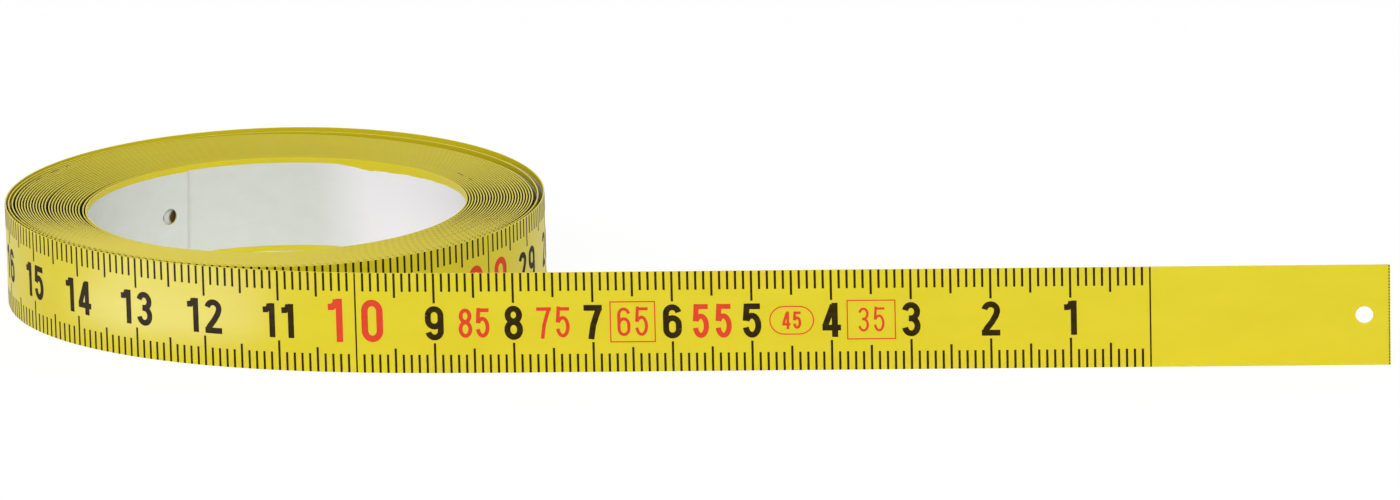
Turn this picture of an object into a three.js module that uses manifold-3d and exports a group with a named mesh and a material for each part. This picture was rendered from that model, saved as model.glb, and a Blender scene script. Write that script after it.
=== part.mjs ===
// A self-adhesive steel measuring tape, wound on edge into a coil with its zero end lying free.
// The tape is three layers: a printed steel blade, an adhesive film on the blade's back, and a
// paper liner that keeps the film covered until the tape is stuck to a bench.
// Millimetres. +Z is up, the tape stands on its lower edge, and the free end lies along +X. The
// printed face looks outward all round the coil.
//
// The free stretch is springy steel. It is divided into short links, each hinged to the one
// before it about an upright line in the blade, so that it bends at any of them, and can be wound
// on to the coil. The nested hinge groups near the end of this file are that chain.

import * as THREE from 'three';
import Module from 'manifold-3d';
import { mergeVertices } from 'three/addons/utils/BufferGeometryUtils.js';

// The tape's own section
const TAPE_WIDTH = 13;
const BLADE_THICKNESS = 0.14;
const ADHESIVE_THICKNESS = 0.10;
const LINER_THICKNESS = 0.08;
const LINER_WIDTH = 11.5;
const BOND_CLEARANCE = 0.02;

// The coil. Its radius is that of the printed face at the outside. A real coil of this size has
// about 26 turns that touch each other. Here each turn keeps a gap to the next and stands for
// just over two, so that the liner comes to lie 24.4 from the bore's middle at the inside.
const COIL_OUTER_RADIUS = 35.0;
const COIL_TURNS = 12.236;
const TURN_GAP = 0.474;
const STEPS_PER_TURN = 24;

// The coil is not quite round. Its bore lies off centre, towards the free stretch, and the outer
// turns bulge that way too, by a share of the room inside that stretch. The bulge rises between
// two angles, and falls between shares of the angle through which the leaving tape turns.
const BORE_OFF_CENTRE = 5.2;
const LEAN_ANGLE = THREE.MathUtils.degToRad(-5.6);
const BULGE_SHARE = 0.538;
const BULGE_RISE = [THREE.MathUtils.degToRad(170), THREE.MathUtils.degToRad(300)];
const BULGE_FALL_SHARES = [-0.356, 0.648];

// The free stretch. Its curvature falls evenly from the coil's to none over the first length.
const EASING_LENGTH = 75.4;
const EASING_SUMS = 96;
const STRAIGHT_LENGTH = 107.3;

// The punched hole near each end
const HOLE_DIAMETER = 2.2;
const HOLE_TO_END = 3.25;
const HOLE_SIDES = 16;
const PUNCH_OVERRUN = 0.15;

// The links of the free stretch. The first hinge comes after a share of one link's turning.
const LINK_COUNT = 16;
const LINK_GAP = 0.3;
const FIRST_HINGE_SHARE = 0.5;

const FULL_TURN = 2 * Math.PI;
const FREE_LENGTH = EASING_LENGTH + STRAIGHT_LENGTH;

// Depths below the printed face, and heights above the surface the tape stands on
const ADHESIVE_DEPTH = BLADE_THICKNESS + BOND_CLEARANCE;
const LINER_DEPTH = ADHESIVE_DEPTH + ADHESIVE_THICKNESS + BOND_CLEARANCE;
const STRIP_THICKNESS = LINER_DEPTH + LINER_THICKNESS;
const LINER_MARGIN = (TAPE_WIDTH - LINER_WIDTH) / 2;

const LAYERS = [
  { name: 'blade', depth: 0, thickness: BLADE_THICKNESS, low: 0, high: TAPE_WIDTH },
  {
    name: 'adhesive',
    depth: ADHESIVE_DEPTH,
    thickness: ADHESIVE_THICKNESS,
    low: LINER_MARGIN,
    high: TAPE_WIDTH - LINER_MARGIN,
  },
  {
    name: 'liner',
    depth: LINER_DEPTH,
    thickness: LINER_THICKNESS,
    low: LINER_MARGIN,
    high: TAPE_WIDTH - LINER_MARGIN,
  },
];

const MATERIALS = {
  blade: new THREE.MeshStandardMaterial({ color: 0xded034, roughness: 0.35, metalness: 0.1 }),
  adhesive: new THREE.MeshStandardMaterial({ color: 0xd9cfa8, roughness: 0.5, metalness: 0 }),
  liner: new THREE.MeshStandardMaterial({ color: 0xe2e3df, roughness: 0.75, metalness: 0 }),
};

const wasm = await Module();
wasm.setup();

// Where the tape runs, seen from above

// The tape leaves the coil where the easing's own turning brings it parallel to +X at its end.
const PITCH = STRIP_THICKNESS + TURN_GAP;
const EASING_TURN = EASING_LENGTH / (2 * COIL_OUTER_RADIUS);
const COIL_STEP = (COIL_OUTER_RADIUS * FULL_TURN) / STEPS_PER_TURN;

// A place on the printed face, with the outward direction there. Angles about the coil's axis
// start at its front and grow clockwise, which is the way the tape runs inward.
function placeAt(x, y, angle) {
  return { x, y, outX: -Math.sin(angle), outY: -Math.cos(angle) };
}

// From the start of the straight stretch back towards the coil: the heading turns with the
// square of the length run, and the place is the sum of small steps along that heading.
function easingPlace(run) {
  const headingAfter = (length) => (length * length) / (2 * EASING_LENGTH * COIL_OUTER_RADIUS);
  const step = run / EASING_SUMS;
  let x = 0;
  let y = 0;
  for (let i = 0; i < EASING_SUMS; i += 1) {
    const heading = headingAfter((i + 0.5) * step);
    x -= step * Math.cos(heading);
    y += step * Math.sin(heading);
  }
  return placeAt(x, y, headingAfter(run));
}

const easingEnd = easingPlace(EASING_LENGTH);
const STRAIGHT_START_X = -COIL_OUTER_RADIUS * Math.sin(EASING_TURN) - easingEnd.x;
const STRAIGHT_Y = -COIL_OUTER_RADIUS * Math.cos(EASING_TURN) - easingEnd.y;

// The outside's bulge at an angle, which repeats from turn to turn
const ROOM_IN_FRONT = -STRAIGHT_Y - STRIP_THICKNESS - COIL_OUTER_RADIUS;
const BULGE_FALL = BULGE_FALL_SHARES.map((share) => FULL_TURN + share * EASING_TURN);

function bulgeAt(angle) {
  const round = EASING_TURN + ((angle - EASING_TURN) % FULL_TURN);
  const risen = THREE.MathUtils.smoothstep(round, ...BULGE_RISE);
  const fallen = THREE.MathUtils.smoothstep(round, ...BULGE_FALL);
  return BULGE_SHARE * ROOM_IN_FRONT * (risen - fallen);
}

function coilPlace(turned) {
  const angle = EASING_TURN + turned;
  const share = turned / (FULL_TURN * COIL_TURNS);
  const radius = COIL_OUTER_RADIUS - (PITCH * turned) / FULL_TURN;
  const forward = (1 - share) * bulgeAt(angle) + share * BORE_OFF_CENTRE;
  return placeAt(
    -radius * Math.sin(angle) - forward * Math.sin(LEAN_ANGLE),
    -radius * Math.cos(angle) - forward * Math.cos(LEAN_ANGLE),
    angle,
  );
}

// A place on the free stretch, by the length of tape between it and the leaving point
function freePlace(length) {
  const past = length - EASING_LENGTH;
  if (past >= 0) {
    return placeAt(STRAIGHT_START_X + past, STRAIGHT_Y, 0);
  }
  const place = easingPlace(-past);
  return { ...place, x: place.x + STRAIGHT_START_X, y: place.y + STRAIGHT_Y };
}

// The two ends of a run, outer first, with the coil's own steps between them, so that its facets
// lie over the facets of the turn below. The straight stretch needs none.
function freePlaces(outerLength, innerLength) {
  const places = [freePlace(outerLength)];
  const curvedLength = Math.min(outerLength, EASING_LENGTH);
  for (let i = Math.ceil(curvedLength / COIL_STEP) - 1; i * COIL_STEP > innerLength; i -= 1) {
    places.push(freePlace(i * COIL_STEP));
  }
  places.push(freePlace(innerLength));
  return places;
}

// Each hinge takes the same turning when the free stretch is wound on to the coil, so hinges lie
// further apart where the tape is already curved. A whole link lies beyond the last hinge.
const WINDING_TURN = FREE_LENGTH / COIL_OUTER_RADIUS - EASING_TURN;
const HINGE_TURN = WINDING_TURN / (LINK_COUNT + FIRST_HINGE_SHARE);

function hingeLength(index) {
  const turn = (index + FIRST_HINGE_SHARE) * HINGE_TURN;
  if (turn < EASING_TURN) {
    return Math.sqrt(2 * EASING_LENGTH * COIL_OUTER_RADIUS * turn);
  }
  return EASING_LENGTH + COIL_OUTER_RADIUS * (turn - EASING_TURN);
}

// One layer of the tape along a run of places, as a closed solid
function ribbon(places, layer, origin) {
  const positions = [];
  const shallow = layer.depth;
  const deep = layer.depth + layer.thickness;
  for (const place of places) {
    for (const [depth, height] of [
      [shallow, layer.low],
      [shallow, layer.high],
      [deep, layer.high],
      [deep, layer.low],
    ]) {
      positions.push(place.x - depth * place.outX - origin.x);
      positions.push(place.y - depth * place.outY - origin.y);
      positions.push(height);
    }
  }
  const indices = [];
  const corners = 4;
  for (let i = 0; i + 1 < places.length; i += 1) {
    for (let side = 0; side < corners; side += 1) {
      const a = i * corners + side;
      const b = i * corners + ((side + 1) % corners);
      indices.push(a, b, a + corners, b, b + corners, a + corners);
    }
  }
  const last = (places.length - 1) * corners;
  indices.push(0, 2, 1, 0, 3, 2);
  indices.push(last, last + 1, last + 2, last, last + 2, last + 3);
  const geometry = new THREE.BufferGeometry();
  geometry.setAttribute('position', new THREE.Float32BufferAttribute(positions, 3));
  geometry.setIndex(indices);
  return geometry;
}

function toSolid(geometry) {
  const bare = geometry.clone();
  bare.deleteAttribute('normal');
  bare.deleteAttribute('uv');
  const merged = mergeVertices(bare);
  return new wasm.Manifold(new wasm.Mesh({
    numProp: 3,
    vertProperties: new Float32Array(merged.attributes.position.array),
    triVerts: new Uint32Array(merged.index.array),
  }));
}

function toGeometry(solid) {
  const mesh = solid.getMesh();
  const geometry = new THREE.BufferGeometry();
  geometry.setAttribute('position', new THREE.BufferAttribute(mesh.vertProperties, 3));
  geometry.setIndex(new THREE.BufferAttribute(mesh.triVerts, 1));
  return geometry;
}

// A punch through the whole strip at a place, square to it, ending short of the next turn
function punched(geometry, place, origin) {
  const reach = STRIP_THICKNESS + 2 * PUNCH_OVERRUN;
  const punch = new THREE.CylinderGeometry(HOLE_DIAMETER / 2, HOLE_DIAMETER / 2, reach, HOLE_SIDES);
  const angle = Math.atan2(place.outY, place.outX);
  punch.rotateZ(angle - Math.PI / 2);
  const depth = STRIP_THICKNESS / 2;
  punch.translate(
    place.x - depth * place.outX - origin.x,
    place.y - depth * place.outY - origin.y,
    TAPE_WIDTH / 2,
  );
  return toGeometry(toSolid(geometry).subtract(toSolid(punch)));
}

function layerMesh(name, layer, geometry) {
  geometry.computeVertexNormals();
  const mesh = new THREE.Mesh(geometry, MATERIALS[layer.name]);
  mesh.name = name;
  return mesh;
}

// The wound tape, from the first hinge to the inner end
const AXIS = { x: 0, y: 0 };
const coilSteps = Math.round(COIL_TURNS * STEPS_PER_TURN);
const coilPlaces = [];
for (let i = 0; i <= coilSteps; i += 1) {
  coilPlaces.push(coilPlace((FULL_TURN * COIL_TURNS * i) / coilSteps));
}
const woundPlaces = freePlaces(hingeLength(0) - LINK_GAP / 2, 0).concat(coilPlaces.slice(1));

const innerEnd = coilPlaces[coilSteps];
const beforeEnd = coilPlaces[coilSteps - 1];
const endStep = Math.hypot(innerEnd.x - beforeEnd.x, innerEnd.y - beforeEnd.y);
const holeShare = HOLE_TO_END / endStep;
const innerHole = {
  x: innerEnd.x + (beforeEnd.x - innerEnd.x) * holeShare,
  y: innerEnd.y + (beforeEnd.y - innerEnd.y) * holeShare,
  outX: (innerEnd.outX + beforeEnd.outX) / 2,
  outY: (innerEnd.outY + beforeEnd.outY) / 2,
};

const tape = new THREE.Group();
tape.name = 'measuring_tape';
for (const layer of LAYERS) {
  const wound = punched(ribbon(woundPlaces, layer, AXIS), innerHole, AXIS);
  tape.add(layerMesh(`coil_${layer.name}`, layer, wound));
}

// The free stretch: each hinge group hangs on the one before it
let parent = tape;
let parentOrigin = AXIS;
for (let index = 0; index < LINK_COUNT; index += 1) {
  const number = String(index + 1).padStart(2, '0');
  const from = hingeLength(index);
  const isLast = index === LINK_COUNT - 1;
  const to = isLast ? FREE_LENGTH : hingeLength(index + 1) - LINK_GAP / 2;
  const places = freePlaces(to, from + LINK_GAP / 2);
  const hingePlace = freePlace(from);
  const origin = {
    x: hingePlace.x - (BLADE_THICKNESS / 2) * hingePlace.outX,
    y: hingePlace.y - (BLADE_THICKNESS / 2) * hingePlace.outY,
  };
  const hinge = new THREE.Group();
  hinge.name = `hinge_${number}`;
  hinge.position.set(origin.x - parentOrigin.x, origin.y - parentOrigin.y, 0);
  for (const layer of LAYERS) {
    let geometry = ribbon(places, layer, origin);
    if (isLast) {
      geometry = punched(geometry, freePlace(FREE_LENGTH - HOLE_TO_END), origin);
    }
    hinge.add(layerMesh(`${layer.name}_${number}`, layer, geometry));
  }
  parent.add(hinge);
  parent = hinge;
  parentOrigin = origin;
}

// The origin is the middle of the part's outline, on the surface that the tape stands on
const bounds = new THREE.Box3().setFromObject(tape);
const middle = bounds.getCenter(new THREE.Vector3());
tape.position.set(-middle.x, -middle.y, -bounds.min.z);

// The least gap from the inner side of one turn to the outer side of the next, on points
function leastGap(depthOut, depthIn) {
  const at = (place, depth) => new THREE.Vector3(
    place.x - depth * place.outX,
    place.y - depth * place.outY,
    0,
  );
  const outer = woundPlaces.map((place) => at(place, depthOut));
  const inner = woundPlaces.map((place) => at(place, depthIn));
  const nearest = new THREE.Vector3();
  let least = Infinity;
  for (let i = 0; i < inner.length; i += 1) {
    for (let j = i + STEPS_PER_TURN / 2; j + 1 < outer.length; j += 1) {
      new THREE.Line3(outer[j], outer[j + 1]).closestPointToPoint(inner[i], true, nearest);
      least = Math.min(least, nearest.distanceTo(inner[i]));
      new THREE.Line3(inner[i], inner[Math.min(i + 1, inner.length - 1)])
        .closestPointToPoint(outer[j], true, nearest);
      least = Math.min(least, nearest.distanceTo(outer[j]));
    }
  }
  return least;
}

for (const layer of LAYERS) {
  const gap = leastGap(layer.depth, layer.depth + layer.thickness);
  console.log(`coil_${layer.name}: least gap to itself ${gap.toFixed(3)} mm`);
}
console.log(`whole strip: least gap to its next turn ${leastGap(0, STRIP_THICKNESS).toFixed(3)} mm`);

export default tape;
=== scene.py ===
import math

import bmesh
import bpy
from mathutils import Matrix, Vector


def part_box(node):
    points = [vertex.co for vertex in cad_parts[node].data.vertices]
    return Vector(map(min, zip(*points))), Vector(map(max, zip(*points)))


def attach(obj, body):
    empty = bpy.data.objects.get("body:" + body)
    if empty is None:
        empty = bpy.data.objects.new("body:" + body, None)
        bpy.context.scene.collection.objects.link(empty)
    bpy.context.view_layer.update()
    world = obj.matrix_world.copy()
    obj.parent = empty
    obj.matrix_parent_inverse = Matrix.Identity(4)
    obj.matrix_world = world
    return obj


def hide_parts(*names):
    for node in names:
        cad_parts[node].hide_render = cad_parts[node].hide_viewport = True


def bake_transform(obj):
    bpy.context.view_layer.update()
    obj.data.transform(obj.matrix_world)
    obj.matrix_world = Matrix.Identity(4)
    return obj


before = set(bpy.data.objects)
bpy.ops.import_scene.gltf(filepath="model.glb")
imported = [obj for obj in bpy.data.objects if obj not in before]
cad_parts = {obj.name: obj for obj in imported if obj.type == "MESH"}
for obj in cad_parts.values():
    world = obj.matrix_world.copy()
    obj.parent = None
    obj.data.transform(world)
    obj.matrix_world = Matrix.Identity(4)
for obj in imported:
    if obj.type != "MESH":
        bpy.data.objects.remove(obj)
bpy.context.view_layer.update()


# The camera
# A long lens on a tripod in front of the tape, a little to the right, looking slightly down on it.
CAMERA_PLACE = (0.07727, -1.3310, 0.3572)
CAMERA_HEADING = math.radians(3.290)
CAMERA_PITCH = math.radians(75.230)
CAMERA_ROLL = math.radians(-1.394)
SENSOR_WIDTH = 36.0
FOCAL_LENGTH = 274.76
NEAREST_SEEN = 0.05
FARTHEST_SEEN = 20.0

lens = bpy.data.cameras.new("camera")
lens.sensor_fit = "HORIZONTAL"
lens.sensor_width = SENSOR_WIDTH
lens.lens = FOCAL_LENGTH
lens.clip_start = NEAREST_SEEN
lens.clip_end = FARTHEST_SEEN
camera = bpy.data.objects.new("camera", lens)
bpy.context.scene.collection.objects.link(camera)
turned_left = Matrix.Rotation(CAMERA_HEADING, 4, "Z")
tipped_down = Matrix.Rotation(CAMERA_PITCH, 4, "X")
rolled = Matrix.Rotation(CAMERA_ROLL, 4, "Z")
camera.matrix_world = Matrix.Translation(CAMERA_PLACE) @ turned_left @ tipped_down @ rolled
bpy.context.scene.camera = camera


# The blade
# Spring steel strip, rolled thin, slit to width with softly broken edges, and lacquered yellow all
# over. It is wound on edge into a coil of 26 turns, not quite round, and its end lies out straight.
MM = 0.001
TAPE_WIDTH = 13.0
BLADE_THICKNESS = 0.17
EDGE_ROUNDING = 0.02
STRAIGHT_LENGTH = 107.3
EASING_LENGTH = 75.4
COIL_RADIUS = 35.0
BORE_RADIUS = 24.35
STRIP_THICKNESS = 0.240
COIL_TURNS = 26.234
BORE_OFF_CENTRE = 5.5
FRONT_BULGE = 3.3
LEAN_HEADING = math.radians(-5.6)
BULGE_RISE = (math.radians(170), math.radians(300))
BULGE_FALL = (math.radians(338), math.radians(400))
INNER_SLANT = 0.11
HOLE_DIAMETER = 2.2
HOLE_TO_END = 3.25
INNER_HOLE_TO_END = 2.75
PIN_SIDES = 40
PIN_LENGTH = 4.0
COIL_STEP = 1.25
FREE_STEP = 0.9
SHORTEST_LONG_EDGE = 0.01
SQUARE_CORNER = math.radians(60)
SMOOTHED_UP_TO = math.radians(20)

# Each loose place: degrees round from the coil's front, the first turn that has moved inward
# there, by how much, over how many degrees to either side, and in how many turns it closes up.
LOOSE_PLACES = (
    (190.0, 1, 1.80, 110.0, 26),
    (212.0, 2, 1.60, 75.0, 26),
    (50.0, 1, 0.20, 42.0, 26),
    (46.0, 2, 0.16, 40.0, 26),
    (102.0, 2, 0.10, 75.0, 9),
    (100.0, 3, 0.10, 70.0, 9),
    (95.0, 14, 0.10, 45.0, 9),
    (98.0, 25, 0.16, 60.0, 9),
    (282.0, 2, 0.10, 60.0, 9),
)

FREE_LENGTH = STRAIGHT_LENGTH + EASING_LENGTH
FREE_END_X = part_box("blade_16")[1][0] / MM
PRINTED_FACE_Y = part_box("blade_16")[0][1] / MM
PITCH = (COIL_RADIUS - BORE_RADIUS - STRIP_THICKNESS) / COIL_TURNS
EASING_TURN = EASING_LENGTH / (2 * COIL_RADIUS)
ALL_TURNED = COIL_TURNS * math.tau
COIL_LENGTH = ALL_TURNED * (COIL_RADIUS - PITCH * ALL_TURNED / (2 * math.tau))
TAPE_LENGTH = FREE_LENGTH + COIL_LENGTH


def along_easing(run):
    """How far the easing has gone along and across, and its heading, after a run of it.

    Its curvature grows evenly, so the two distances are the first terms of that curve's series.
    """
    heading = run * run / (2 * EASING_LENGTH * COIL_RADIUS)
    along = run * (1 - heading**2 / 10 + heading**4 / 216 - heading**6 / 9360)
    across = run * (heading / 3 - heading**3 / 42 + heading**5 / 1320 - heading**7 / 75600)
    return along, across, heading


EASING_ALONG, EASING_ACROSS, _ = along_easing(EASING_LENGTH)
AXIS_X = FREE_END_X - STRAIGHT_LENGTH - EASING_ALONG + COIL_RADIUS * math.sin(EASING_TURN)
AXIS_Y = PRINTED_FACE_Y + EASING_ACROSS + COIL_RADIUS * math.cos(EASING_TURN)


def smooth_step(value, start, end):
    """0 before the start, 1 past the end, and an even curve between them."""
    part = min(max((value - start) / (end - start), 0), 1)
    return part * part * (3 - 2 * part)


def bulge_at(heading):
    """How far the outer turns bulge forward at a heading."""
    round_once = EASING_TURN + (heading - EASING_TURN) % math.tau
    risen = smooth_step(round_once, *BULGE_RISE)
    return FRONT_BULGE * (risen - smooth_step(round_once, *BULGE_FALL))


def moved_inward(turned):
    """How far the coil's looseness has drawn a place of the tape inward."""
    inward = 0.0
    round_from_front = math.degrees(EASING_TURN + turned)
    for middle, first_turn, opening, spread, turns_to_close_up in LOOSE_PLACES:
        turn = round((round_from_front - middle) / 360)
        away = abs(round_from_front - middle - 360 * turn)
        closing = 1 - (turn - first_turn) / turns_to_close_up
        if turn >= first_turn and away < spread and closing > 0:
            inward += opening * closing * (0.5 + 0.5 * math.cos(math.pi * away / spread))
    return inward


def on_tape(run, depth, height):
    """A place in the shared frame, from the run along the tape and the depth below its print."""
    if run <= STRAIGHT_LENGTH:
        x, y, heading = FREE_END_X - run, PRINTED_FACE_Y, 0.0
    elif run <= FREE_LENGTH:
        along, across, heading = along_easing(run - STRAIGHT_LENGTH)
        x, y = FREE_END_X - STRAIGHT_LENGTH - along, PRINTED_FACE_Y + across
    else:
        wound = run - FREE_LENGTH
        shrunk = COIL_RADIUS**2 - PITCH * wound / math.pi
        turned = math.tau / PITCH * (COIL_RADIUS - math.sqrt(shrunk))
        heading = EASING_TURN + turned
        radius = COIL_RADIUS - PITCH * turned / math.tau - moved_inward(turned)
        share = turned / ALL_TURNED
        forward = (1 - share) * bulge_at(heading) + share * BORE_OFF_CENTRE
        x = AXIS_X - radius * math.sin(heading) - forward * math.sin(LEAN_HEADING)
        y = AXIS_Y - radius * math.cos(heading) - forward * math.cos(LEAN_HEADING)
        slant = INNER_SLANT * share * max(0.0, -math.cos(heading)) ** 2
        depth += slant * (height - TAPE_WIDTH / 2)
    x += depth * math.sin(heading)
    y += depth * math.cos(heading)
    return Vector((x * MM, y * MM, height * MM))


def strip(start, end, depth, thickness, low, high, step):
    """A flat stretch of one layer, laid out along X, with its depth along Y."""
    bm = bmesh.new()
    steps = max(1, math.ceil((end - start) / step))
    upright = Matrix.Rotation(math.radians(90), 4, "X")
    size = Matrix.Diagonal((end - start, high - low, 1, 1))
    bmesh.ops.create_grid(bm, x_segments=steps, y_segments=1, size=0.5, matrix=upright @ size)
    bmesh.ops.solidify(bm, geom=bm.faces[:], thickness=thickness)
    nearest = min(v.co.y for v in bm.verts)
    middle = Vector(((start + end) / 2, depth - nearest, (low + high) / 2))
    bmesh.ops.translate(bm, vec=middle, verts=bm.verts)
    return bm


def soften_edges(bm, rounding):
    """Breaks the four long edges of a flat stretch."""
    long_edges = []
    for edge in bm.edges:
        reach = abs(edge.verts[0].co.x - edge.verts[1].co.x)
        if reach > SHORTEST_LONG_EDGE and edge.calc_face_angle(0) > SQUARE_CORNER:
            long_edges.append(edge)
    bmesh.ops.bevel(
        bm,
        geom=long_edges,
        offset=rounding,
        segments=2,
        profile=0.5,
        affect="EDGES",
        material=-1,
    )


def punch(bm, run):
    """Punches the round hole through a flat stretch."""
    sheet = bpy.data.meshes.new("punched")
    bm.to_mesh(sheet)
    work = bpy.data.objects.new("punched", sheet)
    bpy.context.scene.collection.objects.link(work)
    pin = bmesh.new()
    laid_down = Matrix.Rotation(math.radians(90), 4, "X")
    across = Matrix.Translation((run, 0, TAPE_WIDTH / 2)) @ laid_down
    radius = HOLE_DIAMETER / 2
    bmesh.ops.create_cone(
        pin,
        cap_ends=True,
        segments=PIN_SIDES,
        radius1=radius,
        radius2=radius,
        depth=PIN_LENGTH,
        matrix=across,
    )
    pin_mesh = bpy.data.meshes.new("pin")
    pin.to_mesh(pin_mesh)
    pin.free()
    tool = bpy.data.objects.new("pin", pin_mesh)
    bpy.context.scene.collection.objects.link(tool)
    cut = work.modifiers.new("cut", "BOOLEAN")
    cut.operation = "DIFFERENCE"
    cut.solver = "EXACT"
    cut.object = tool
    bpy.context.view_layer.update()
    graph = bpy.context.evaluated_depsgraph_get()
    done = bpy.data.meshes.new_from_object(work.evaluated_get(graph))
    bm.clear()
    bm.from_mesh(done)
    for gone in (work, tool):
        bpy.data.objects.remove(gone)
    for gone in (sheet, pin_mesh, done):
        bpy.data.meshes.remove(gone)


def lay(name, bm, material):
    """Lays a flat stretch along the tape, keeping where it was as its UV map."""
    flat = bm.loops.layers.uv.new("along_tape")
    for face in bm.faces:
        face.smooth = True
        for loop in face.loops:
            loop[flat].uv = (loop.vert.co.x * MM, (loop.vert.co.z + loop.vert.co.y) * MM)
    for vert in bm.verts:
        vert.co = on_tape(*vert.co)
    bmesh.ops.recalc_face_normals(bm, faces=bm.faces[:])
    mesh = bpy.data.meshes.new(name)
    bm.to_mesh(mesh)
    bm.free()
    mesh.set_sharp_from_angle(angle=SMOOTHED_UP_TO)
    mesh.materials.append(material)
    piece = bpy.data.objects.new(name, mesh)
    bpy.context.scene.collection.objects.link(piece)
    return piece


# The free stretch bends at sixteen places, one hinge of the frame to each. A span of every layer
# reaches from the middle of one link to the middle of the next, with the hinge in it.
LINK_COUNT = 16
FIRST_HINGE_SHARE = 0.5

free_turning = FREE_LENGTH / COIL_RADIUS - EASING_TURN
hinge_turning = free_turning / (LINK_COUNT + FIRST_HINGE_SHARE)
hinge_runs = []
for index in range(LINK_COUNT):
    taken = (index + FIRST_HINGE_SHARE) * hinge_turning
    if taken < EASING_TURN:
        hinge_runs.append(FREE_LENGTH - math.sqrt(2 * EASING_LENGTH * COIL_RADIUS * taken))
    else:
        hinge_runs.append(STRAIGHT_LENGTH - COIL_RADIUS * (taken - EASING_TURN))

# Each span: its number, the runs of its two ends, the outer one first, and a run on the far side
# of its hinge from the inner end.
spans = []
inner_run = 2 * hinge_runs[0] - (hinge_runs[0] + hinge_runs[1]) / 2
for index in range(LINK_COUNT):
    if index + 1 < LINK_COUNT:
        outer_run = (hinge_runs[index] + hinge_runs[index + 1]) / 2
        still_run = outer_run
    else:
        outer_run = 0.0
        still_run = 2 * hinge_runs[index] - inner_run
    spans.append((index + 1, outer_run, inner_run, still_run))
    inner_run = outer_run
COIL_START = spans[0][2]


def bend_with_links(piece, inner_run, still_run):
    """Finds the tape's middle at both runs, and bakes the span's placing into its mesh."""
    start = on_tape(inner_run, 0, TAPE_WIDTH / 2)
    end = on_tape(still_run, 0, TAPE_WIDTH / 2)
    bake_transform(piece)


# Painted shade between the turns, from the third turn to the last but one
SHADE_BROWN = (0.018, 0.010, 0.002)
COVERED_START = FREE_LENGTH + 2 * math.tau * COIL_RADIUS
COVERED_END = TAPE_LENGTH - math.tau * (BORE_RADIUS + 1)
UNSHADED_EDGE = 0.08
UNSHADED_EDGE_AT_SIDES = 0.022
TOWARDS_SIDES = (0.78, 0.94)
UNEVEN_SHADE = (0.45, 1.65)
NOISE_SPAN = (0.35, 0.65)
NOISE_ROUGHNESS = 0.55


def principled(name, roughness, specular):
    """A material with its own principled shader, and the tree to add to."""
    material = bpy.data.materials.new(name)
    material.use_nodes = True
    tree = material.node_tree
    shader = tree.nodes["Principled BSDF"]
    shader.inputs["Roughness"].default_value = roughness
    shader.inputs["Specular IOR Level"].default_value = specular
    return material, tree, shader


def worked_out(tree, kind, operation, values):
    """A node that works on values, each of them a constant or another node's output."""
    node = tree.nodes.new(kind)
    node.operation = operation
    for socket, value in zip(node.inputs, values):
        if isinstance(value, bpy.types.NodeSocket):
            tree.links.new(value, socket)
        else:
            socket.default_value = value
    return node


def maths(tree, operation, *values):
    """The result of one operation on numbers."""
    return worked_out(tree, "ShaderNodeMath", operation, values).outputs["Value"]


def vector_maths(tree, operation, *values):
    """The result of one operation on vectors."""
    return worked_out(tree, "ShaderNodeVectorMath", operation, values).outputs["Vector"]


def apart(tree, vector):
    """The X and Y of a vector."""
    parts = tree.nodes.new("ShaderNodeSeparateXYZ")
    tree.links.new(vector, parts.inputs["Vector"])
    return parts.outputs["X"], parts.outputs["Y"]


def remapped(tree, value, before, after):
    """A value carried over from one range to another, and kept inside that."""
    node = tree.nodes.new("ShaderNodeMapRange")
    for name, limit in zip(("From Min", "From Max", "To Min", "To Max"), (*before, *after)):
        node.inputs[name].default_value = limit
    tree.links.new(value, node.inputs["Value"])
    return node.outputs["Result"]


def ramp(tree, value, stops):
    """A colour ramp that a value drives."""
    colours = tree.nodes.new("ShaderNodeValToRGB")
    elements = colours.color_ramp.elements
    while len(elements) < len(stops):
        elements.new(0.5)
    for element, (place, colour) in zip(elements, stops):
        element.position = place
        element.color = (*colour, 1)
    tree.links.new(value, colours.inputs["Fac"])
    return colours.outputs["Color"]


def turned_to(tree, colour, other, share):
    """A colour turned to another, fixed one by a share."""
    mix = tree.nodes.new("ShaderNodeMix")
    mix.data_type = "RGBA"
    mix.inputs["B"].default_value = (*other, 1)
    tree.links.new(share, mix.inputs["Factor"])
    tree.links.new(colour, mix.inputs["A"])
    return mix.outputs["Result"]


def tape_place(tree):
    """Where a point lies along the tape and across its width."""
    flat = tree.nodes.new("ShaderNodeUVMap")
    flat.uv_map = "along_tape"
    return flat.outputs["UV"]


def tape_noise(tree, scale, stretch, detail=3.0):
    """Noise that follows the tape, drawn out along its length."""
    drawn = tree.nodes.new("ShaderNodeMapping")
    drawn.inputs["Scale"].default_value = (1 / stretch, 1, 1)
    noise = tree.nodes.new("ShaderNodeTexNoise")
    noise.inputs["Scale"].default_value = scale
    noise.inputs["Detail"].default_value = detail
    noise.inputs["Roughness"].default_value = NOISE_ROUGHNESS
    tree.links.new(tape_place(tree), drawn.inputs["Vector"])
    tree.links.new(drawn.outputs["Vector"], noise.inputs["Vector"])
    return noise.outputs["Fac"]


def ease_bump(tree, shader, value, strength, distance):
    """A slight unevenness in the surface."""
    bump = tree.nodes.new("ShaderNodeBump")
    bump.inputs["Strength"].default_value = strength
    bump.inputs["Distance"].default_value = distance
    tree.links.new(value, bump.inputs["Height"])
    tree.links.new(bump.outputs["Normal"], shader.inputs["Normal"])


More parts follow.
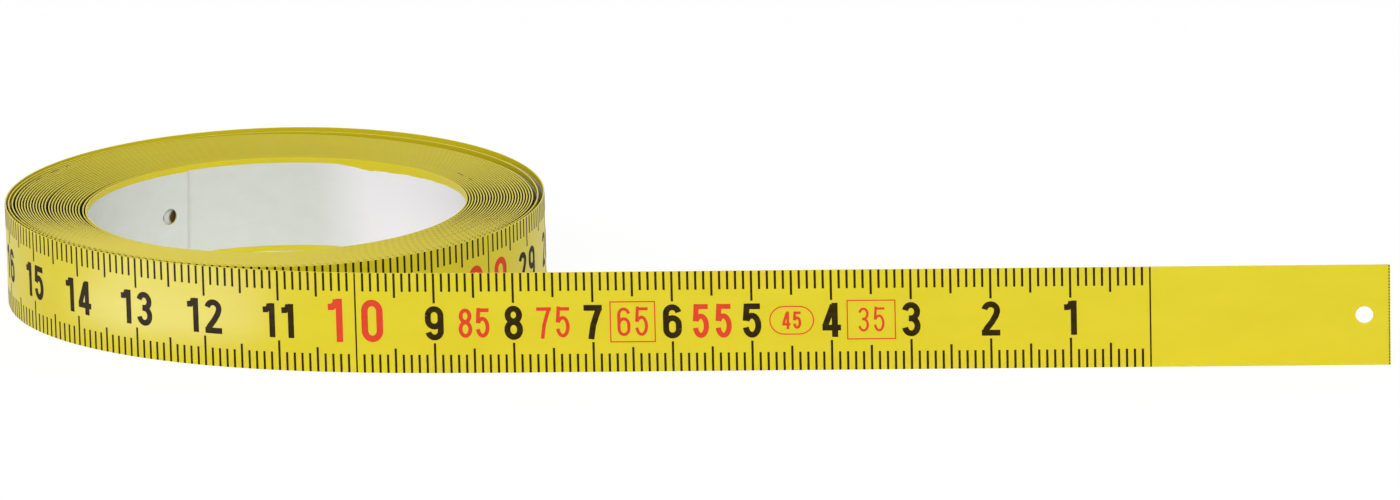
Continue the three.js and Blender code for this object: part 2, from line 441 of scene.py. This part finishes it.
def side_share(tree):
    """How far a place of the coil lies to its left or right, from 0 at the back or front to 1."""
    place = tree.nodes.new("ShaderNodeTexCoord")
    axis = (AXIS_X * MM, AXIS_Y * MM, 0)
    from_axis = vector_maths(tree, "SUBTRACT", place.outputs["Object"], axis)
    in_plan = vector_maths(tree, "MULTIPLY", from_axis, (1, 1, 0))
    direction = vector_maths(tree, "NORMALIZE", in_plan)
    sideways, _ = apart(tree, vector_maths(tree, "ABSOLUTE", direction))
    return sideways


def soil_between_turns(tree, shader, colour):
    """Gives a layer its colour, and a rough brown painted shade where other turns cover it.

    The painted shade starts just below the blade's edge, and nearer to it at the coil's two sides,
    where the turns lie most apart. It lies unevenly along the tape.
    """
    run, height = apart(tree, tape_place(tree))
    middle = (COVERED_START + COVERED_END) / 2 * MM
    reach = (COVERED_END - COVERED_START) / 2 * MM
    covered = maths(tree, "COMPARE", run, middle, reach)
    edges = (UNSHADED_EDGE * MM, UNSHADED_EDGE_AT_SIDES * MM)
    unshaded = remapped(tree, side_share(tree), TOWARDS_SIDES, edges)
    patchy = tape_noise(tree, scale=36, stretch=1)
    unshaded_here = maths(tree, "MULTIPLY", unshaded, remapped(tree, patchy, NOISE_SPAN, UNEVEN_SHADE))
    below_edge = maths(tree, "SUBTRACT", TAPE_WIDTH * MM, height)
    unshaded_edges_down = maths(tree, "DIVIDE", below_edge, unshaded_here)
    shaded = maths(tree, "MULTIPLY", covered, remapped(tree, unshaded_edges_down, (1, 2), (0, 1)))
    tree.links.new(turned_to(tree, colour, SHADE_BROWN, shaded), shader.inputs["Base Color"])
    roughness = (shader.inputs["Roughness"].default_value, 1)
    tree.links.new(remapped(tree, shaded, (0, 1), roughness), shader.inputs["Roughness"])


LACQUER_YELLOW = (0.702, 0.590, 0.014)
LACQUER_DEEP = (0.684, 0.570, 0.011)

yellow_lacquer, tree, shader = principled("yellow_lacquer", roughness=0.38, specular=0.3)
cloudy = tape_noise(tree, scale=260, stretch=4)
colour = ramp(tree, cloudy, ((0.35, LACQUER_DEEP), (0.65, LACQUER_YELLOW)))
# Painted brown shade between the turns, over the lacquer's tone.
soil_between_turns(tree, shader, colour)
drawn_lines = tape_noise(tree, scale=2600, stretch=12)
ease_bump(tree, shader, drawn_lines, strength=0.10, distance=0.00002)

for number, outer_run, inner_run, still_run in spans:
    bm = strip(outer_run, inner_run, 0, BLADE_THICKNESS, 0, TAPE_WIDTH, FREE_STEP)
    soften_edges(bm, EDGE_ROUNDING)
    if number == LINK_COUNT:
        punch(bm, HOLE_TO_END)
    span = lay(f"blade_span_{number:02d}", bm, yellow_lacquer)
    bend_with_links(span, inner_run, still_run)
    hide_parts(f"blade_{number:02d}")

bm = strip(COIL_START, TAPE_LENGTH, 0, BLADE_THICKNESS, 0, TAPE_WIDTH, COIL_STEP)
soften_edges(bm, EDGE_ROUNDING)
punch(bm, TAPE_LENGTH - INNER_HOLE_TO_END)
wound_blade = lay("wound_blade", bm, yellow_lacquer)
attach(wound_blade, "coil")
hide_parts("coil_blade")


# The adhesive film
# A thin, milky carrier film, sticky on both faces, rolled on to the blade's back and kept a little
# inside both edges. It only shows as a fine line between the blade and its liner.
LINER_WIDTH = 11.5
FILM_DEPTH = 0.168
FILM_THICKNESS = 0.030
FILM_LOW = (TAPE_WIDTH - LINER_WIDTH) / 2
FILM_HIGH = TAPE_WIDTH - FILM_LOW
TORN_RUN = TAPE_LENGTH - 134.5
TORN_LENGTH = 4.5
MENDING_LENGTH = 27.0
TORN_DEPTH = 0.60
TORN_STEP = 0.8
RAGGED_SHARE = 0.16
RAGGED_WAVES = (13, 29)
FILM_DEEP = (0.60, 0.53, 0.30)
FILM_PALE = (0.70, 0.63, 0.42)


def tear(bm):
    """Tears the upper edge of a layer away a little at one place in the bore."""
    slow, fast = RAGGED_WAVES
    for vert in bm.verts:
        into_tear = (vert.co.x - TORN_RUN) / TORN_LENGTH
        mended = (vert.co.x - TORN_RUN - TORN_LENGTH) / MENDING_LENGTH
        if vert.co.z > TAPE_WIDTH / 2 and into_tear > 0 and mended < 1:
            ragged = RAGGED_SHARE * math.sin(slow * into_tear) * math.cos(fast * into_tear)
            vert.co.z -= TORN_DEPTH * min(into_tear, 1 - mended, 1) * (1 + ragged)


milky_film, tree, shader = principled("milky_film", roughness=0.6, specular=0.2)
cloudy = tape_noise(tree, scale=400, stretch=3)
colour = ramp(tree, cloudy, ((0.3, FILM_DEEP), (0.7, FILM_PALE)))
# Painted brown shade between the turns, over the film's tone.
soil_between_turns(tree, shader, colour)

for number, outer_run, inner_run, still_run in spans:
    bm = strip(outer_run, inner_run, FILM_DEPTH, FILM_THICKNESS, FILM_LOW, FILM_HIGH, FREE_STEP)
    if number == LINK_COUNT:
        punch(bm, HOLE_TO_END)
    span = lay(f"film_span_{number:02d}", bm, milky_film)
    bend_with_links(span, inner_run, still_run)
    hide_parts(f"adhesive_{number:02d}")

bm = strip(COIL_START, TAPE_LENGTH, FILM_DEPTH, FILM_THICKNESS, FILM_LOW, FILM_HIGH, TORN_STEP)
tear(bm)
punch(bm, TAPE_LENGTH - INNER_HOLE_TO_END)
wound_film = lay("wound_film", bm, milky_film)
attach(wound_film, "coil")
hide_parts("coil_adhesive")


# The liner
# Smooth, pale release paper, narrower than the blade, that keeps the film covered until the tape is
# stuck down. It lines the coil's bore, and its upper edge is torn a little at one place there.
LINER_DEPTH = 0.196
LINER_THICKNESS = 0.044
LIT_LENGTH_START = TAPE_LENGTH - 138.0
LIT_LENGTH_END = TAPE_LENGTH - 60.0
HOLE_SHADE_REACH = 1.15
SEEN_ASKEW = 1.05
LINER_DEEP = (0.645, 0.665, 0.615)
LINER_PALE = (0.68, 0.70, 0.655)
PAINTED_LIGHT_WHITE = (0.83, 0.82, 0.84)
HOLE_SHADE_BROWN = (0.075, 0.042, 0.014)
NOT_AT_ALL = (0, 0, 0)
FULLY = (1, 1, 1)

liner_paper, tree, shader = principled("liner_paper", roughness=0.62, specular=0.3)
mottled = tape_noise(tree, scale=500, stretch=1.5, detail=4.0)
pale = ramp(tree, mottled, ((0.30, LINER_DEEP), (0.70, LINER_PALE)))

# Painted light: one length of the paper in the bore is painted whiter than the rest.
run, _ = apart(tree, tape_place(tree))
through = remapped(tree, run, (LIT_LENGTH_START * MM, LIT_LENGTH_END * MM), (0, 1))
fading = ((0.0, NOT_AT_ALL), (0.10, FULLY), (0.90, FULLY), (1.0, NOT_AT_ALL))
painted_light = turned_to(tree, pale, PAINTED_LIGHT_WHITE, ramp(tree, through, fading))

# Behind the hole at the inner end, a round brown spot of painted shade lies on the liner of the
# turn outside it.
hole_run = TAPE_LENGTH - INNER_HOLE_TO_END
turn_outside = math.tau * (BORE_RADIUS + STRIP_THICKNESS + PITCH / 2)
behind_hole = hole_run - turn_outside + SEEN_ASKEW
about_hole = tree.nodes.new("ShaderNodeMapping")
about_hole.vector_type = "TEXTURE"
about_hole.inputs["Location"].default_value = (behind_hole * MM, TAPE_WIDTH / 2 * MM, 0)
about_hole.inputs["Scale"].default_value = (HOLE_SHADE_REACH * MM, HOLE_SHADE_REACH * MM, 1)
round_spot = tree.nodes.new("ShaderNodeTexGradient")
round_spot.gradient_type = "SPHERICAL"
tree.links.new(tape_place(tree), about_hole.inputs["Vector"])
tree.links.new(about_hole.outputs["Vector"], round_spot.inputs["Vector"])
hole_shade = ramp(tree, round_spot.outputs["Fac"], ((0.02, NOT_AT_ALL), (0.30, FULLY)))
# Painted brown shade between the turns, over the paper's colours.
soil_between_turns(tree, shader, turned_to(tree, painted_light, HOLE_SHADE_BROWN, hole_shade))
fibres = tape_noise(tree, scale=3800, stretch=2.5, detail=4.0)
ease_bump(tree, shader, fibres, strength=0.12, distance=0.00002)

for number, outer_run, inner_run, still_run in spans:
    bm = strip(outer_run, inner_run, LINER_DEPTH, LINER_THICKNESS, FILM_LOW, FILM_HIGH, FREE_STEP)
    if number == LINK_COUNT:
        punch(bm, HOLE_TO_END)
    span = lay(f"liner_span_{number:02d}", bm, liner_paper)
    bend_with_links(span, inner_run, still_run)
    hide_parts(f"liner_{number:02d}")

bm = strip(COIL_START, TAPE_LENGTH, LINER_DEPTH, LINER_THICKNESS, FILM_LOW, FILM_HIGH, TORN_STEP)
tear(bm)
punch(bm, TAPE_LENGTH - INNER_HOLE_TO_END)
wound_liner = lay("wound_liner", bm, liner_paper)
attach(wound_liner, "coil")
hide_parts("coil_liner")


# The black print
# Millimetre marks screened along both edges, longer at every fifth and tenth, a fine line right
# across at zero and each tenth centimetre, and bold narrow centimetre figures between them.
ZERO_RUN = 30.0
PRINTED_LENGTH = 5000
READ_LENGTH = 410
MARK_WIDTH = 0.29
MILLIMETRE_MARK = 2.4
FIVE_MARK = 3.2
CENTIMETRE_MARK = 3.9
EDGE_MARK = 0.8
LINE_WIDTH = 0.20
PRINT_RAISED = 0.008
PRINT_SUNK = 0.02
BARE_EDGE = 0.015
FIGURE_HEIGHT = 4.45
FIGURE_WIDTH = 2.36
ONE_WIDTH = 1.62
FIGURE_STROKE = 0.76
FIGURE_GAP = 0.85
BOW_STEP = 14.0
SAME_POINT = 1e-6
NARROWEST_MITRE = 0.45
OVERLAP_STEP = 0.0015
LEVEL_PLAY = 0.001
CUT_STEP = 1.0
SHEAR_DOTS = 33
SHEAR_DOT = 0.22
SHEAR_DOT_RUN = 0.14
SHEAR_DOT_LENGTH = 0.16
COPIED_MARKS = 10
WORN_FROM = 1100.0
WORN_EDGE = 0.026


def bow(x, y, across, up, start, end):
    """Points along part of an oval, in degrees from its right side."""
    count = max(3, round(abs(end - start) / BOW_STEP))
    points = []
    for index in range(count + 1):
        angle = math.radians(start + (end - start) * index / count)
        points.append((x + across * math.cos(angle), y + up * math.sin(angle)))
    return points


# The strokes of each figure, as middle lines in millimetres about the middle of a figure of the
# full height. The first word of a stroke says whether it closes on itself.
SIX_BACK = bow(0, 1.0, 0.8, 0.845, 12, 180) + bow(0, -1.0, 0.8, 0.845, 180, 360)
SIX_BOWL = [(0.8, -1.0)] + bow(0, -0.42, 0.8, 0.85, 0, 158)
NINE_BACK = [(-x, -y) for x, y in SIX_BACK]
NINE_BOWL = [(-x, -y) for x, y in SIX_BOWL]
UPPER_THREE = bow(0, 0.98, 0.76, 0.865, 168, -78) + [(-0.28, 0.12)]
LOWER_THREE = [(-0.28, 0.12)] + bow(0, -0.88, 0.8, 0.965, 78, -168)
SWAN_NECK = bow(0, 1.0, 0.8, 0.845, 168, -8) + [(0.6, 0.32), (0.12, -0.48), (-0.45, -1.2)]
FIGURES = {
    "0": (("closed", bow(0, 1.0, 0.8, 0.845, 0, 180) + bow(0, -1.0, 0.8, 0.845, 180, 360)),),
    "1": (
        ("open", [(0.40, -2.225), (0.40, 2.225)]),
        ("open", [(-0.80, 1.36), (-0.30, 1.38), (0.02, 1.66), (0.12, 2.12)]),
    ),
    "2": (
        ("open", SWAN_NECK + [(-0.78, -1.75)]),
        ("open", [(-1.16, -1.86), (1.16, -1.86)]),
    ),
    "3": (("open", UPPER_THREE), ("open", LOWER_THREE)),
    "4": (
        ("open", [(0.42, -2.225), (0.42, 2.225)]),
        ("open", [(0.22, 1.95), (-0.82, -0.82)]),
        ("open", [(-1.16, -1.00), (1.18, -1.00)]),
    ),
    "5": (
        ("open", bow(0, -0.6, 0.8, 1.245, 150, -168)),
        ("open", [(-0.60, 2.2), (-0.78, -0.02)]),
        ("open", [(-0.72, 1.86), (1.06, 1.86)]),
    ),
    "6": (("open", SIX_BACK), ("open", SIX_BOWL)),
    "7": (
        ("open", [(-1.14, 1.86), (1.16, 1.86)]),
        ("open", [(0.82, 1.9), (0.45, 0.9), (0.02, -0.4), (-0.26, -2.225)]),
    ),
    "8": (
        ("closed", bow(0, 1.02, 0.72, 0.825, 0, 360)[:-1]),
        ("closed", bow(0, -0.87, 0.8, 0.975, 0, 360)[:-1]),
    ),
    "9": (("open", NINE_BACK), ("open", NINE_BOWL)),
}


def draw_stroke(bm, points, width, closed, level):
    """A flat stroke of one width along points of run and height, just proud of the lacquer."""
    count = len(points)
    sides = []
    for index, point in enumerate(points):
        first = point - points[index - 1] if index or closed else points[1] - point
        after = (index + 1) % count
        second = points[after] - point if after or closed else first
        if first.length < SAME_POINT:
            first = second
        if second.length < SAME_POINT:
            second = first
        along = (first.normalized() + second.normalized()).normalized()
        reach = width / 2 / max(NARROWEST_MITRE, along.dot(second.normalized()))
        side = Vector((-along.y, along.x)) * reach
        depth = OVERLAP_STEP * level - PRINT_RAISED
        left, right = point + side, point - side
        pair = (bm.verts.new((left.x, depth, left.y)), bm.verts.new((right.x, depth, right.y)))
        sides.append(pair)
    for index in range(count if closed else count - 1):
        here, there = sides[index], sides[(index + 1) % count]
        bm.faces.new((here[0], there[0], there[1], here[1]))


def draw_figures(bm, text, reading, height, stroke_width, gap, narrowed=1.0, rise=0.0):
    """Writes figures about a reading of the scale, in or above the middle of the tape's width."""
    scale = height / FIGURE_HEIGHT
    widths = [(ONE_WIDTH if figure == "1" else FIGURE_WIDTH) * scale * narrowed for figure in text]
    left = -(sum(widths) + gap * (len(text) - 1)) / 2
    for figure, width in zip(text, widths):
        middle = left + width / 2
        for level, (form, line) in enumerate(FIGURES[figure]):
            placed = []
            for x, y in line:
                run = ZERO_RUN + reading - middle - x * scale * narrowed
                placed.append(Vector((run, TAPE_WIDTH / 2 + rise + y * scale)))
            draw_stroke(bm, placed, stroke_width, form == "closed", level)
        left += width + gap


def cut_out(sheet, start, end):
    """The part of a sheet of print between two runs, cut finely enough to curve, as solid ink."""
    bm = sheet.copy()
    for run, way in ((start, -1), (end, 1)):
        bmesh.ops.bisect_plane(
            bm,
            geom=bm.verts[:] + bm.edges[:] + bm.faces[:],
            plane_co=(run, 0, 0),
            plane_no=(way, 0, 0),
            clear_outer=True,
        )
    cut = start + CUT_STEP
    while cut < end and bm.faces:
        bmesh.ops.bisect_plane(
            bm,
            geom=bm.verts[:] + bm.edges[:] + bm.faces[:],
            plane_co=(cut, 0, 0),
            plane_no=(1, 0, 0),
        )
        cut += CUT_STEP
    if bm.faces:
        bmesh.ops.recalc_face_normals(bm, faces=bm.faces[:])
        for face in bm.faces:
            if face.normal.y > 0:
                face.normal_flip()
        bmesh.ops.solidify(bm, geom=bm.faces[:], thickness=PRINT_RAISED + PRINT_SUNK)
        for vert in bm.verts:
            if vert.co.y < -PRINT_RAISED - LEVEL_PLAY:
                vert.co.y += 2 * (PRINT_RAISED + PRINT_SUNK)
    return bm


def print_bar(bm, run, width, low, high):
    """One printed bar, let into the lacquer, that ends at the strip's broken edges."""
    low = max(low, BARE_EDGE)
    high = min(high, TAPE_WIDTH - BARE_EDGE)
    size = Matrix.Diagonal((width, PRINT_RAISED + PRINT_SUNK, high - low, 1))
    place = Vector((run, (PRINT_SUNK - PRINT_RAISED) / 2, (low + high) / 2))
    bmesh.ops.create_cube(bm, size=1, matrix=Matrix.Translation(place) @ size)


def print_marks(bm, reading, lower_mark=None):
    """The marks of one reading at both edges, or the line right across."""
    run = ZERO_RUN + reading
    if reading % 100 == 0 and lower_mark is None:
        print_bar(bm, run, LINE_WIDTH, 0, TAPE_WIDTH)
        return
    mark = MILLIMETRE_MARK
    if reading % 5 == 0:
        mark = FIVE_MARK
    if reading % 10 == 0:
        mark = CENTIMETRE_MARK
    mark = lower_mark or mark
    print_bar(bm, run, MARK_WIDTH, 0, mark)
    print_bar(bm, run, MARK_WIDTH, TAPE_WIDTH - mark, TAPE_WIDTH)


def readings_between(start, end):
    """Whole millimetres of the scale that lie between two runs."""
    first = max(0, math.ceil(start - ZERO_RUN))
    last = math.ceil(end - ZERO_RUN)
    return range(first, max(first, last))


BLACK_INK = (0.024, 0.014, 0.003)
BROWN_INK = (0.040, 0.025, 0.004)

black_ink, tree, shader = principled("black_ink", roughness=0.50, specular=0.05)
cloudy = tape_noise(tree, scale=1200, stretch=2)
colour = ramp(tree, cloudy, ((0.35, BLACK_INK), (0.70, BROWN_INK)))
tree.links.new(colour, shader.inputs["Base Color"])

black_sheet = bmesh.new()
for centimetres in range(1, READ_LENGTH // 10 + 1):
    if centimetres % 10:
        number = str(centimetres)
        reading = 10 * centimetres
        draw_figures(black_sheet, number, reading, FIGURE_HEIGHT, FIGURE_STROKE, FIGURE_GAP)

for number, outer_run, inner_run, still_run in spans:
    bm = cut_out(black_sheet, outer_run, inner_run)
    for reading in readings_between(outer_run, inner_run):
        print_marks(bm, reading)
    if number == LINK_COUNT:
        for place in range(SHEAR_DOTS):
            middle = (place + 0.5) * TAPE_WIDTH / SHEAR_DOTS
            reach = SHEAR_DOT / 2
            print_bar(bm, SHEAR_DOT_RUN, SHEAR_DOT_LENGTH, middle - reach, middle + reach)
    if not bm.faces:
        bm.free()
        continue
    span = lay(f"black_print_{number:02d}", bm, black_ink)
    bend_with_links(span, inner_run, still_run)

READ_END = ZERO_RUN + READ_LENGTH
bm = cut_out(black_sheet, COIL_START, READ_END)
for reading in readings_between(COIL_START, READ_END):
    print_marks(bm, reading)
wound_print = lay("wound_black_print", bm, black_ink)
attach(wound_print, "coil")
black_sheet.free()

# Where the turns cover the print, only the ends of its marks show, as rows of dots by the edges.
bm = bmesh.new()
for reading in range(READ_LENGTH, READ_LENGTH + COPIED_MARKS):
    print_marks(bm, reading, EDGE_MARK)
copied = COPIED_MARKS
while copied < PRINTED_LENGTH - READ_LENGTH:
    again = bmesh.ops.duplicate(bm, geom=bm.verts[:] + bm.edges[:] + bm.faces[:])
    moved = [part for part in again["geom"] if isinstance(part, bmesh.types.BMVert)]
    bmesh.ops.translate(bm, vec=(copied, 0, 0), verts=moved)
    copied *= 2
past_end = [vert for vert in bm.verts if vert.co.x > ZERO_RUN + PRINTED_LENGTH + MARK_WIDTH]
bmesh.ops.delete(bm, geom=past_end, context="VERTS")
for vert in bm.verts:
    if vert.co.x > WORN_FROM and vert.co.z > TAPE_WIDTH - EDGE_MARK / 2:
        vert.co.z -= WORN_EDGE
edge_dots = lay("wound_edge_dots", bm, black_ink)
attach(edge_dots, "coil")


# The red print
# A second pass of the screen sets taller red figures astride the line at every tenth centimetre,
# and plain millimetre readings between the first figures, some of them in a drawn frame.
RED_HEIGHT = 5.65
RED_RISE = 0.27
RED_STROKE = 0.84
RED_GAP = 2.3
RED_NARROWED = 0.94
SMALL_NARROWED = 0.86
FRAME_LINE = 0.15

RED_INK = (0.720, 0.066, 0.030)
RED_INK_DEEP = (0.680, 0.056, 0.024)

red_ink, tree, shader = principled("red_ink", roughness=0.50, specular=0.05)
cloudy = tape_noise(tree, scale=1200, stretch=2)
colour = ramp(tree, cloudy, ((0.35, RED_INK_DEEP), (0.70, RED_INK)))
tree.links.new(colour, shader.inputs["Base Color"])

# Each small reading: its place and figure, how tall, how bold, and how far apart its figures are
SMALL_READINGS = (
    (85, 4.0, 0.50, 0.35),
    (75, 4.2, 0.46, 0.45),
    (65, 4.0, 0.40, 0.40),
    (55, 4.5, 0.66, 0.80),
    (45, 2.3, 0.34, 0.30),
    (35, 3.4, 0.30, 0.40),
)


def draw_box(bm, reading, width, height):
    """A drawn oblong frame about a reading."""
    middle = ZERO_RUN + reading
    corners = []
    for across, up in ((-1, -1), (1, -1), (1, 1), (-1, 1)):
        place = (middle + across * width / 2, TAPE_WIDTH / 2 + up * height / 2)
        corners.append(Vector(place))
    draw_stroke(bm, corners, FRAME_LINE, True, 0)


def draw_oval(bm, reading, width, height):
    """A drawn frame with round ends about a reading."""
    middle = ZERO_RUN + reading
    radius = height / 2
    reach = width / 2 - radius
    line = bow(reach, 0, radius, radius, -90, 90) + bow(-reach, 0, radius, radius, 90, 270)
    placed = [Vector((middle + x, TAPE_WIDTH / 2 + y)) for x, y in line]
    draw_stroke(bm, placed, FRAME_LINE, True, 0)


# Each drawn frame: the reading in it, its form, and its width and height
FRAMED_READINGS = (
    (65, draw_box, 5.6, 5.2),
    (45, draw_oval, 5.5, 3.6),
    (35, draw_box, 6.0, 5.0),
)

red_sheet = bmesh.new()
tall_figures = (RED_HEIGHT, RED_STROKE, RED_GAP, RED_NARROWED, RED_RISE)
for reading in range(100, READ_LENGTH + 1, 100):
    draw_figures(red_sheet, str(reading // 10), reading, *tall_figures)
for reading, height, stroke_width, gap in SMALL_READINGS:
    draw_figures(red_sheet, str(reading), reading, height, stroke_width, gap, SMALL_NARROWED)
for reading, draw_frame, width, height in FRAMED_READINGS:
    draw_frame(red_sheet, reading, width, height)

for number, outer_run, inner_run, still_run in spans:
    bm = cut_out(red_sheet, outer_run, inner_run)
    if not bm.faces:
        bm.free()
        continue
    span = lay(f"red_print_{number:02d}", bm, red_ink)
    bend_with_links(span, inner_run, still_run)

bm = cut_out(red_sheet, COIL_START, READ_END)
wound_red = lay("wound_red_print", bm, red_ink)
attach(wound_red, "coil")
red_sheet.free()


# The dirt in the coil
# Eight crumbs of dried dirt, each lodged in the gap between two turns, level with their edges.
CRUMB_DEPTHS = (0.10, 0.46)
CRUMB_LOW = 12.80
CRUMB_TOP = 12.99
CRUMB_BROWN = (0.085, 0.058, 0.008)

# Each crumb: degrees round from the coil's front, the turn outside it, and its length
CRUMBS = (
    (98.0, 3, 0.8),
    (106.0, 3, 1.5),
    (114.0, 3, 1.9),
    (119.0, 3, 0.6),
    (240.0, 18, 1.3),
    (246.5, 18, 1.0),
    (291.0, 10, 1.6),
    (286.5, 9, 1.2),
)

dried_dirt, tree, shader = principled("dried_dirt", roughness=0.95, specular=0.1)
shader.inputs["Base Color"].default_value = (*CRUMB_BROWN, 1)

bm = bmesh.new()
for degrees, turn, length in CRUMBS:
    turned = math.radians(degrees + 360 * turn) - EASING_TURN
    run = FREE_LENGTH + turned * (COIL_RADIUS - PITCH * turned / (2 * math.tau))
    near, far = CRUMB_DEPTHS
    size = Matrix.Diagonal((length, far - near, CRUMB_TOP - CRUMB_LOW, 1))
    place = Vector((run, (near + far) / 2, (CRUMB_LOW + CRUMB_TOP) / 2))
    bmesh.ops.create_cube(bm, size=1, matrix=Matrix.Translation(place) @ size)
crumbs = lay("crumbs_of_dirt", bm, dried_dirt)
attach(crumbs, "coil")


# The table and the light
# A wide pale table under a white surround. A big soft box stands high in front, one at the left and
# a weaker one at the right. A strip on the table gives the gleam on the coil's left front.
TABLE_WHITE = (0.92, 0.92, 0.92)
TABLE_LEVEL = -0.00002
TABLE_REACH = 3.0
GLOW_STRENGTH = 1.03
GLOW_SHARE = 0.86
GLOW_UNDER_COIL = 0.5
SURROUND_LIGHT = 0.42
SURROUND_SEEN = 1.0

floor = bmesh.new()
bmesh.ops.create_grid(floor, x_segments=1, y_segments=1, size=TABLE_REACH)
bmesh.ops.translate(floor, vec=(0, 0, TABLE_LEVEL), verts=floor.verts)
floor_mesh = bpy.data.meshes.new("table_top")
floor.to_mesh(floor_mesh)
floor.free()
table_top = bpy.data.objects.new("table_top", floor_mesh)
bpy.context.scene.collection.objects.link(table_top)


def seen_rays(tree):
    """1 for the rays that see the white surroundings, straight or in a gloss, and 0 for light."""
    rays = tree.nodes.new("ShaderNodeLightPath").outputs
    glossy = maths(tree, "MAXIMUM", rays["Is Glossy Ray"], rays["Is Transmission Ray"])
    return maths(tree, "MAXIMUM", rays["Is Camera Ray"], glossy)


def away_from(tree, middle, comparison, distance):
    """1 at the places that lie farther from, or nearer to, a middle than a distance, else 0."""
    place = tree.nodes.new("ShaderNodeTexCoord").outputs["Object"]
    between = worked_out(tree, "ShaderNodeVectorMath", "DISTANCE", (place, middle))
    return maths(tree, comparison, between.outputs["Value"], distance * MM)


white_table, tree, shader = principled("white_table", roughness=0.6, specular=0.2)
shader.inputs["Base Color"].default_value = (*TABLE_WHITE, 1)
glow = tree.nodes.new("ShaderNodeEmission")
glow.inputs["Strength"].default_value = GLOW_STRENGTH
mixed = tree.nodes.new("ShaderNodeMixShader")

# The table has no glow where the coil's turns stand on it, but for a narrow edge of the ring.
coil_middle = (AXIS_X * MM, AXIS_Y * MM, 0)
bore_middle = (
    (AXIS_X - BORE_OFF_CENTRE * math.sin(LEAN_HEADING)) * MM,
    (AXIS_Y - BORE_OFF_CENTRE * math.cos(LEAN_HEADING)) * MM,
    0,
)
beside_coil = away_from(tree, coil_middle, "GREATER_THAN", COIL_RADIUS - GLOW_UNDER_COIL)
in_bore = away_from(tree, bore_middle, "LESS_THAN", BORE_RADIUS + GLOW_UNDER_COIL)
bare = maths(tree, "MAXIMUM", beside_coil, in_bore)
glowing = maths(tree, "MULTIPLY", seen_rays(tree), bare)
tree.links.new(maths(tree, "MULTIPLY", glowing, GLOW_SHARE), mixed.inputs["Fac"])
tree.links.new(shader.outputs["BSDF"], mixed.inputs[1])
tree.links.new(glow.outputs["Emission"], mixed.inputs[2])
tree.links.new(mixed.outputs["Shader"], tree.nodes["Material Output"].inputs["Surface"])
floor_mesh.materials.append(white_table)

world = bpy.data.worlds.new("white_surround")
world.use_nodes = True
bpy.context.scene.world = world
tree = world.node_tree
surround = tree.nodes["Background"]
surround.inputs["Color"].default_value = (1, 1, 1, 1)
strength = remapped(tree, seen_rays(tree), (0, 1), (SURROUND_LIGHT, SURROUND_SEEN))
tree.links.new(strength, surround.inputs["Strength"])


def soft_box(name, place, facing, size, power):
    """A rectangular studio light at a place, turned by a rotation from facing downward."""
    data = bpy.data.lights.new(name, "AREA")
    data.shape = "RECTANGLE"
    data.size, data.size_y = size
    data.energy = power
    light = bpy.data.objects.new(name, data)
    bpy.context.scene.collection.objects.link(light)
    light.matrix_world = Matrix.Translation(place) @ facing.to_matrix().to_4x4()
    return light


def aimed(place, target):
    """The rotation that turns a light at a place towards another."""
    return (Vector(target) - Vector(place)).to_track_quat("-Z", "Y")


# Each soft box: its name, its place and the place that it faces, its size in metres and its watts
SOFT_BOXES = (
    ("high_box", (0.0, -0.88, 0.85), (0.0, 0.0, 0.0), (0.9, 0.7), 8.7),
    ("left_box", (-1.05, -0.10, 0.50), (-0.06, 0.0, 0.0), (0.6, 0.5), 2.5),
    ("right_box", (0.95, -0.25, 0.55), (0.0, 0.0, 0.0), (0.6, 0.6), 1.7),
)
STRIP_PLACE = (-0.086, -0.045, 0.0006)
STRIP_TURN = math.radians(-36)
STRIP_SIZE = (0.045, 0.030)
STRIP_POWER = 0.042
STRIP_BLUE = (0.35, 0.45, 1.0)

for name, place, target, size, power in SOFT_BOXES:
    soft_box(name, place, aimed(place, target), size, power)

upward = Matrix.Rotation(STRIP_TURN, 3, "Z") @ Matrix.Rotation(math.radians(180), 3, "X")
facing_up = upward.to_quaternion()
gleam_strip = soft_box("gleam_strip", STRIP_PLACE, facing_up, STRIP_SIZE, STRIP_POWER)
gleam_strip.data.color = STRIP_BLUE
gleam_strip.visible_camera = False
gleam_strip.visible_diffuse = False

scene = bpy.context.scene
scene.view_settings.view_transform = "Standard"
